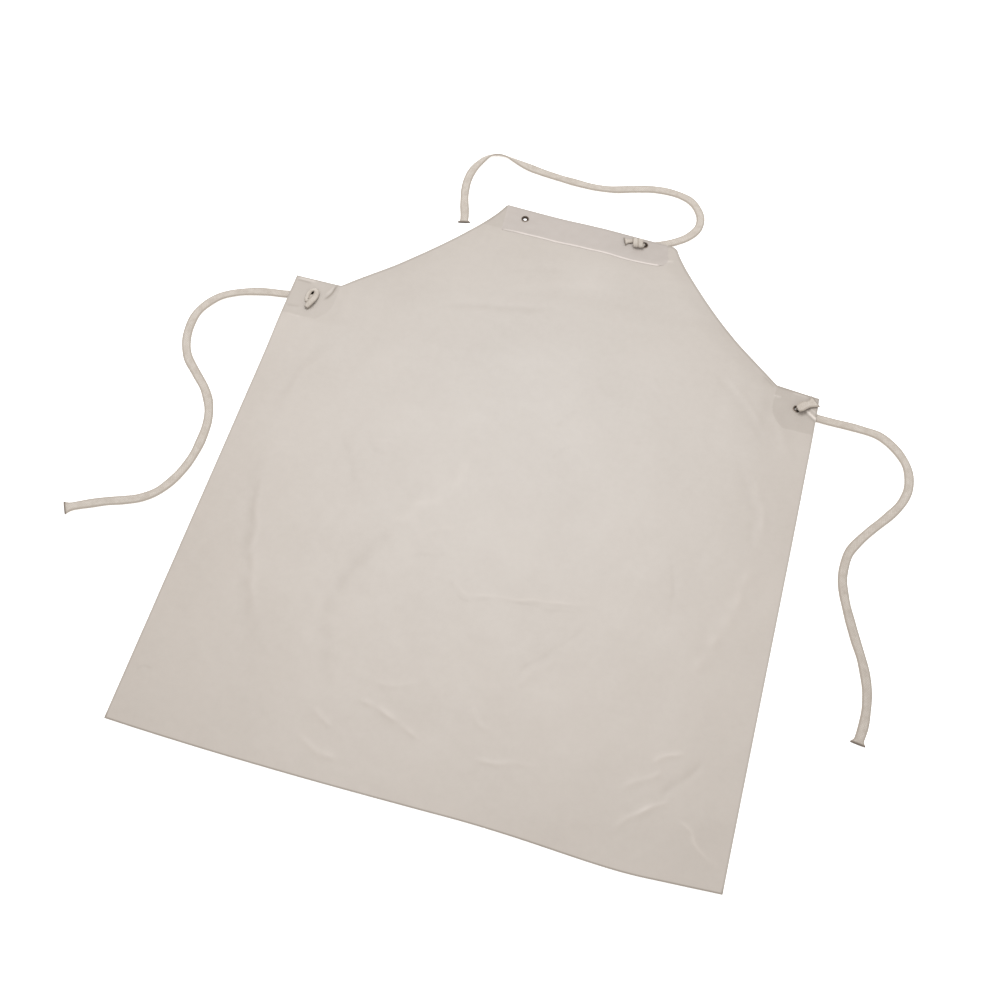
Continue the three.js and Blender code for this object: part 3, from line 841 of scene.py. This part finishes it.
def make_hem():
    """The strip that is folded down over the front: its top edge is the rounded fold."""
    outline = hem_outline()
    fold_line = np.array([(x, fold_y(x)) for x in np.arange(BIB_LEFT_CORNER[0] + 1, HEM_END_X, 3)])
    lip = beside(fold_line, -np.array([0.12, 0.35, 0.7, 1.1, 1.3, 1.5, 2.6]))
    body = grid((-160, 475), (160, 546), 3.5)
    inset = beside(closed(outline), (1.3,))
    loose = np.vstack([lip, thinned(np.vstack([inset, body]), 1.6)])
    flat, triangles = triangulated(outline, holes_at(EYELETS[:2]), loose, 0.1)
    x, y = flat.T
    depth = (fold_y(x) - y) * math.cos(math.atan(FOLD_SLOPE))
    bulge = np.sqrt(np.maximum(1 - (1 - np.clip(depth / (2 * FOLD_R), 0, 1)) ** 2, 0.01))
    under = lie_of_sheet(x, y)
    wave = 0.06 * plane_waves(x, y, 24, 12, 5) * smoothstep(depth, 3, 12)
    top = under + FOLD_R + FOLD_R * bulge + wave
    # Both ends of the strip are pressed thinner.
    thin = np.maximum(smoothstep(x, -138, -147), smoothstep(x, 140, 149))
    top -= 0.45 * thin * smoothstep(depth, 0, 4)
    on_sheet = under + SHEET_THICKNESS + LAYER_GAP + wave
    wrapped = under + FOLD_R - FOLD_R * bulge
    bottom = np.where(depth < 1.4, wrapped, on_sheet)
    # Painted shade along the fold and a painted highlight just above the weld; the strip is darker
    # towards its right end and lighter where its ends are pressed thin.
    tone = -0.16 * (1 - smoothstep(depth, 2, 5)) + 0.08 * smoothstep(y, 494, 486)
    tone -= 0.07 * smoothstep(x, -20, 120) - 0.05 * thin
    hem = layered("hem", flat, triangles, bottom, top, tone)
    return place(hem, "apron", "vinyl_hem", "top_hem")


def make_weld():
    """The bead along the hem's lower edge."""
    flat = catmull_rom(WELD_LINE, 1.5)
    along = arc_length(flat)
    half_width = WELD_HALF_WIDTH * (1 + 0.06 * np.sin(along * 0.21) + 0.04 * np.sin(along * 0.47 + 1))
    end = np.minimum(smoothstep(along, 0, 6), 1 - smoothstep(along, along[-1] - 6, along[-1]))
    half_width *= 0.3 + 0.7 * end
    flat[:, 1] += 0.25 * np.sin(along * 0.11)
    base = lie_of_sheet(*flat.T) + 2 * SHEET_THICKNESS + LAYER_GAP
    heading = unit(np.gradient(flat, axis=0))
    sideways = np.column_stack([-heading[:, 1], heading[:, 0]])
    turns = np.linspace(0, 2 * math.pi, WELD_SIDES, endpoint=False)
    # Past the hem's edge the bead comes down towards the sheet.
    drop = WELD_DROP * smoothstep(-np.cos(turns), 0.45, 0.95)
    rings = [
        np.column_stack([flat + (half_width * math.cos(t))[:, None] * sideways,
                         base + WELD_RISE + WELD_HALF_HEIGHT * math.sin(t) - lower])
        for t, lower in zip(turns, drop)
    ]
    points = np.stack(rings, axis=1).reshape(-1, 3)
    faces = tube_faces(len(flat), WELD_SIDES)
    first = tuple(range(WELD_SIDES))
    faces += [first[::-1], tuple((len(flat) - 1) * WELD_SIDES + k for k in first)]
    weld = make_object("hem_weld", points * MM, faces)
    # Painted highlight on the bead's crown, fainter towards its left end.
    fades = 0.3 + 0.55 * smoothstep(along, 0, 45)
    crown_highlight = np.maximum(np.sin(turns), 0) ** 0.7
    set_attribute(weld, "tone", (fades[:, None] * crown_highlight).ravel())
    return place(weld, "apron", "vinyl_hem")


def make_patch(node, eyelet):
    outline = PATCHES[node]
    body = grid(outline.min(0), outline.max(0), 4)
    flat, triangles = triangulated(outline, holes_at([eyelet]), body, 1.5)
    middle = outline.mean(0)
    drawn_in = middle + (flat - middle) * PATCH_DRAWN_IN
    under = lie_of_sheet(*flat.T) - SHEET_THICKNESS - LAYER_GAP
    patch = layered(
        node + "_layer", drawn_in, triangles, under, under + SHEET_THICKNESS, np.zeros(len(flat)))
    return place(patch, "apron", "vinyl_patch", node)


# ---- Eyelets -------------------------------------------------

FLANGE_THICKNESS = 0.8


def lathed(name, profile, centre, segments=72):
    """Turn a closed profile of (radius, height, tarnish and painted shade) round a vertical axis."""
    profile = np.array(profile, float)
    angle = np.linspace(0, 2 * math.pi, segments, endpoint=False)
    points = [
        (centre[0] + r * MM * math.cos(a), centre[1] + r * MM * math.sin(a), centre[2] + z * MM)
        for a in angle for r, z, _ in profile
    ]
    count = len(profile)
    faces = []
    for i in range(segments):
        a, b = i * count, ((i + 1) % segments) * count
        for k in range(count):
            n = (k + 1) % count
            faces.append((a + k, b + k, b + n, a + n))
    piece = make_object(name, points, faces, sharp_angle=50)
    set_attribute(piece, "tarnish_and_shade", np.tile(profile[:, 2], segments))
    return piece


def rounded(centre_r, centre_z, radius, start, end, count, tarnish_and_shade):
    angles = np.radians(np.linspace(start, end, count))
    tones = np.linspace(tarnish_and_shade[0], tarnish_and_shade[1], count)
    return [(centre_r + radius * math.cos(a), centre_z + radius * math.sin(a), t)
            for a, t in zip(angles, tones)]


def make_eyelet(name):
    low, high = low_high(name)
    at = np.array([*EYELET_AT[name][:2], low[2]])
    flange = (high[2] - low[2]) / MM - FLANGE_THICKNESS
    # Each point's third number is tarnish with painted shade, darkest in the curl and the barrel.
    # Up the outside of the barrel, out under the flange, back over it, and down the inside.
    ring = lathed(name + "_ring", [
        (3.8, 0.05, 1), (3.8, flange, 1), (6.9, flange, 0.5), (7.0, flange + 0.15, 0.4),
        *rounded(6.5, flange + 0.2, 0.5, 0, 80, 6, (0.3, 0.3)),
        (6.2, flange + 0.66, 0.5), (5.8, flange + 0.64, 0.85),
        *rounded(4.5, flange - 0.05, 1.0, 60, 180, 14, (0.9, 1)),
        (3.5, flange - 0.6, 1), (3.4, 0.9, 1), (3.1, 0.4, 1), (3.1, 0.05, 1),
    ], at)
    washer_low, _ = low_high(name + "_washer")
    at = np.array([*EYELET_AT[name][:2], washer_low[2]])
    washer = lathed(name + "_washer_ring", [
        (4.1, 0.0, 0.8), *rounded(6.8, 0.2, 0.2, -90, 90, 5, (0.3, 0.3)), (4.1, 0.4, 0.8),
    ], at)
    return [
        place(ring, "apron", "eyelet_nickel", name),
        place(washer, "apron", "eyelet_nickel", name + "_washer"),
    ]


# ---- Materials -----------------------------------------------


class Nodes:
    """A short way to build a material's node tree."""

    def __init__(self, name):
        self.material = bpy.data.materials.new(name)
        self.material.use_nodes = True
        self.tree = self.material.node_tree
        self.shader = self.tree.nodes["Principled BSDF"]

    def add(self, kind, settings=None, inputs=None):
        node = self.tree.nodes.new(kind)
        for key, value in (settings or {}).items():
            setattr(node, key, value)
        for key, value in (inputs or {}).items():
            self.set(node.inputs[key], value)
        return node

    def set(self, socket, value):
        if isinstance(value, bpy.types.NodeSocket):
            self.tree.links.new(value, socket)
        else:
            socket.default_value = value

    def math(self, operation, a, b=0.0, clamp=False):
        node = self.add("ShaderNodeMath", {"operation": operation, "use_clamp": clamp})
        self.set(node.inputs[0], a)
        self.set(node.inputs[1], b)
        return node.outputs[0]

    def noise(self, vector, scale, detail=2.0, roughness=0.5):
        inputs = {"Scale": scale, "Detail": detail, "Roughness": roughness}
        node = self.add("ShaderNodeTexNoise", inputs=inputs)
        self.set(node.inputs["Vector"], vector)
        return node.outputs["Fac"]

    def stretched(self, vector, scale):
        node = self.add("ShaderNodeMapping")
        node.inputs["Scale"].default_value = scale
        self.set(node.inputs["Vector"], vector)
        return node.outputs["Vector"]

    def ramp(self, value, stops):
        node = self.add("ShaderNodeValToRGB")
        elements = node.color_ramp.elements
        elements[0].position, elements[0].color = stops[0][0], (*stops[0][1], 1)
        elements[1].position, elements[1].color = stops[-1][0], (*stops[-1][1], 1)
        for position, color in stops[1:-1]:
            elements.new(position).color = (*color, 1)
        self.set(node.inputs["Fac"], value)
        return node.outputs["Color"]

    def range(self, value, low, high, to_low=0.0, to_high=1.0):
        node = self.add("ShaderNodeMapRange")
        sockets = ("From Min", "From Max", "To Min", "To Max")
        for key, number in zip(sockets, (low, high, to_low, to_high)):
            node.inputs[key].default_value = number
        self.set(node.inputs["Value"], value)
        return node.outputs["Result"]

    def mix(self, factor, a, b, blend="MIX"):
        node = self.add("ShaderNodeMix", {"data_type": "RGBA", "blend_type": blend})
        self.set(node.inputs[0], factor)
        self.set(node.inputs[6], a)
        self.set(node.inputs[7], b)
        return node.outputs[2]

    def object_coordinates(self):
        return self.add("ShaderNodeTexCoord").outputs["Object"]

    def attribute(self, name, output="Fac"):
        return self.add("ShaderNodeAttribute", {"attribute_name": name}).outputs[output]

    def bump(self, height, strength, distance, below=None):
        node = self.add("ShaderNodeBump", inputs={"Strength": strength, "Distance": distance})
        self.set(node.inputs["Height"], height)
        if below is not None:
            self.set(node.inputs["Normal"], below)
        return node.outputs["Normal"]

    def finish(self, **inputs):
        for key, value in inputs.items():
            self.set(self.shader.inputs[key.replace("_", " ")], value)
        return self.material


def srgb(r, g, b):
    def linear(v):
        v /= 255
        return v / 12.92 if v <= 0.04045 else ((v + 0.055) / 1.055) ** 2.4
    return linear(r), linear(g), linear(b)


def times(color, *factors):
    return tuple(min(c * factor, 0.95) for c, factor in zip(color, factors))


DARKEST_VINYL = (0.42, 0.38, 0.33)
LIGHTEST_VINYL = (1.5, 1.5, 1.52)
# A painted sheen of the overhead light's reflection: paler and cooler over the chest, gone towards the
# edges.
PAINTED_SHEEN_MIDDLE = (-0.02, 0.2, 0)
PAINTED_SHEEN_REACH = (0.02, 0.56)
PAINTED_SHEEN_TINT = (1.03, 1.055, 1.08, 1)


def vinyl(name, base):
    """Smooth PVC: the tone that its points carry, a faint mottle, a painted sheen over the chest and a
    fine grain.
    """
    n = Nodes(name)
    at = n.object_coordinates()
    carried = n.range(n.attribute("tone"), -1, 1)
    mottle = n.math("ADD", n.math("MULTIPLY", n.noise(at, 7.0, 3.0, 0.55), 0.6),
                    n.math("MULTIPLY", n.noise(at, 90.0, 3.0, 0.6), 0.4))
    spread = n.range(mottle, 0.3, 0.7, -0.03, 0.03)
    tone = n.math("ADD", carried, spread, True)
    color = n.ramp(tone, [
        (0, times(base, *DARKEST_VINYL)), (0.5, base), (1, times(base, *LIGHTEST_VINYL))])
    # Painted sheen: the chest is tinted paler and cooler, as the light's reflection would make it.
    from_chest = n.add("ShaderNodeVectorMath", {"operation": "DISTANCE"}, {0: at, 1: PAINTED_SHEEN_MIDDLE})
    painted_sheen = n.range(from_chest.outputs["Value"], *PAINTED_SHEEN_REACH, 1.0, 0.0)
    color = n.mix(painted_sheen, color, PAINTED_SHEEN_TINT, "MULTIPLY")
    grain = n.noise(at, 900.0, 2.0, 0.5)
    normal = n.bump(n.noise(at, 26.0, 2.0, 0.5), 0.12, 0.001)
    normal = n.bump(grain, 0.1, 0.0002, normal)
    rough = n.range(n.noise(at, 14.0, 3.0), 0.3, 0.7, 0.33, 0.42)
    return n.finish(
        Base_Color=color, Roughness=rough, Normal=normal, IOR=1.5, Coat_Weight=0.12, Coat_Roughness=0.22)


def cotton():
    """Undyed cotton braid: painted shade in the grooves between strands, yarns along them, painted shade
    down the sides, and soil with painted shade at the cut ends and in the eyelets.
    """
    n = Nodes("cotton_braid")
    unrolled = n.attribute("unrolled", "Vector")
    at = n.object_coordinates()
    streaks = n.noise(n.stretched(unrolled, (60, 900, 1)), 1.0, 2.0, 0.6)
    yarn = n.noise(unrolled, 1100.0, 3.0, 0.6)
    fuzz = n.noise(at, 2500.0, 2.0, 0.7)
    # Painted shade in the grooves between the strands, lighter on their crowns.
    color = n.ramp(n.attribute("relief"), [
        (0.1, srgb(172, 162, 151)), (0.45, srgb(195, 186, 176)), (0.9, srgb(206, 198, 189))])
    for share, stain in (
        (n.range(yarn, 0.35, 0.65, 0.0, 0.25), srgb(178, 169, 158)),
        (n.range(streaks, 0.4, 0.62, 0.0, 0.35), srgb(173, 163, 151)),
        # Painted shade down the braid's rounded sides.
        (n.math("MULTIPLY", n.attribute("painted_side_shade"), 0.8), srgb(158, 147, 135)),
        (n.range(n.noise(at, 110.0, 3.0, 0.6), 0.42, 0.66, 0.0, 0.45), srgb(168, 157, 145)),
        # Soil, with painted shade in the eyelets and in the hollow cut ends.
        (n.math("MULTIPLY", n.attribute("soil_and_shade"), 0.85), srgb(98, 84, 72)),
    ):
        color = n.mix(share, color, (*stain, 1))
    height = n.math("ADD", n.math("MULTIPLY", yarn, 0.6), n.math("MULTIPLY", fuzz, 0.4))
    normal = n.bump(height, 0.5, 0.0003)
    rough = n.range(fuzz, 0.3, 0.7, 0.85, 1.0)
    return n.finish(
        Base_Color=color, Roughness=rough, Normal=normal, Sheen_Weight=0.25, Sheen_Roughness=0.5)


def nickel():
    """Nickel plate, darkened round the curl and in the barrel by tarnish and painted shade."""
    n = Nodes("eyelet_nickel")
    at = n.object_coordinates()
    blotch = n.noise(at, 350.0, 4.0, 0.6)
    scratch = n.noise(at, 3000.0, 2.0, 0.6)
    # Tarnish with painted shade, darkest in the curl and the barrel.
    amount = n.math("ADD", n.attribute("tarnish_and_shade"), n.range(blotch, 0.3, 0.7, -0.12, 0.12), True)
    color = n.ramp(amount, [
        (0, srgb(182, 174, 166)), (0.45, srgb(120, 110, 101)), (1, srgb(58, 48, 41))])
    rough = n.range(amount, 0, 1, 0.22, 0.4)
    normal = n.bump(scratch, 0.15, 0.0001)
    return n.finish(Base_Color=color, Roughness=rough, Normal=normal, Metallic=1.0)


# ---- Floor and light -----------------------------------------


FLOOR_HALF = 9.0
FLOOR_Z = -0.0005


def make_floor():
    half = FLOOR_HALF
    floor = make_object("floor", [
        (-half, -half, 0), (half, -half, 0), (half, half, 0), (-half, half, 0)], [(0, 1, 2, 3)])
    floor.location.z = FLOOR_Z
    n = Nodes("floor")
    floor.data.materials.append(n.finish(
        Base_Color=(0.97, 0.97, 0.97, 1), Roughness=0.95,
        Emission_Color=(1, 1, 1, 1), Emission_Strength=0.5))


LIGHT_AT = Vector((-0.35, 1.15, 2.8))
LIGHT_TARGET = Vector((0, 0.05, 0))


def make_light():
    """An even white world, and one large soft light from beyond the bib."""
    world = bpy.data.worlds.new("studio")
    bpy.context.scene.world = world
    world.use_nodes = True
    background = world.node_tree.nodes["Background"]
    background.inputs["Color"].default_value = (1, 1, 1, 1)
    background.inputs["Strength"].default_value = 0.88
    data = bpy.data.lights.new("overhead", "AREA")
    data.shape = "RECTANGLE"
    data.size, data.size_y = 2.0, 1.8
    data.energy = 40
    light = bpy.data.objects.new("overhead", data)
    light.location = LIGHT_AT
    light.rotation_euler = (LIGHT_TARGET - LIGHT_AT).to_track_quat("-Z", "Y").to_euler()
    bpy.context.collection.objects.link(light)


# ---- Build ---------------------------------------------------

make_camera()

KNOT_CLEARANCE = 0.3
BIB_SURFACE = LIFT_OVER_CORD + 2 * SHEET_THICKNESS + LAYER_GAP + KNOT_CLEARANCE
TAB_SURFACE = LIFT_OVER_CORD + SHEET_THICKNESS + KNOT_CLEARANCE
COTTON = cotton()
# Body, route, rolls, length of the flare and grubbiness; then the knot's eyelet, the height of the
# surface that it lies on, its strand and the length of its darkened cut end.
CORDS = [
    ("neck_cord", NECK_ROUTE, [(535, -0.95, 34)], 5, 0.02,
     "bib_eyelet_right", BIB_SURFACE, neck_knot_strand(), 3),
    ("left_waist_cord", LEFT_ROUTE, [], 15, 0.0,
     "tab_eyelet_left", TAB_SURFACE, LEFT_KNOT_STRAND, 3),
    ("right_waist_cord", RIGHT_ROUTE, [], 9, 0.14,
     "tab_eyelet_right", TAB_SURFACE, RIGHT_KNOT_STRAND, 2),
]
for body, route, rolls, flare_length, grubby, eyelet, surface, strand, darkened_end in CORDS:
    cord, line, length = lay_cord(body, route, rolls, flare_length, grubby)
    knot = tie_knot(body, eyelet, surface, strand, darkened_end)
    cord.data.materials.append(COTTON)
    knot.data.materials.append(COTTON)

sheet, sheet_edge = make_sheet()
sheet.data.materials.append(vinyl("vinyl_sheet", srgb(180.5, 171.3, 162.2)))
HEM_VINYL = vinyl("vinyl_hem", srgb(175, 165.5, 158))
hem, weld = make_hem(), make_weld()
hem.data.materials.append(HEM_VINYL)
weld.data.materials.append(HEM_VINYL)
PATCH_VINYL = vinyl("vinyl_patch", srgb(173, 163, 155))
patches = [make_patch("left_corner_patch", EYELETS[2]), make_patch("right_corner_patch", EYELETS[3])]
for patch in patches:
    patch.data.materials.append(PATCH_VINYL)

NICKEL = nickel()
for name in EYELETS:
    for ring in make_eyelet(name):
        ring.data.materials.append(NICKEL)

make_floor()
make_light()
bpy.context.scene.view_settings.view_transform = "Standard"
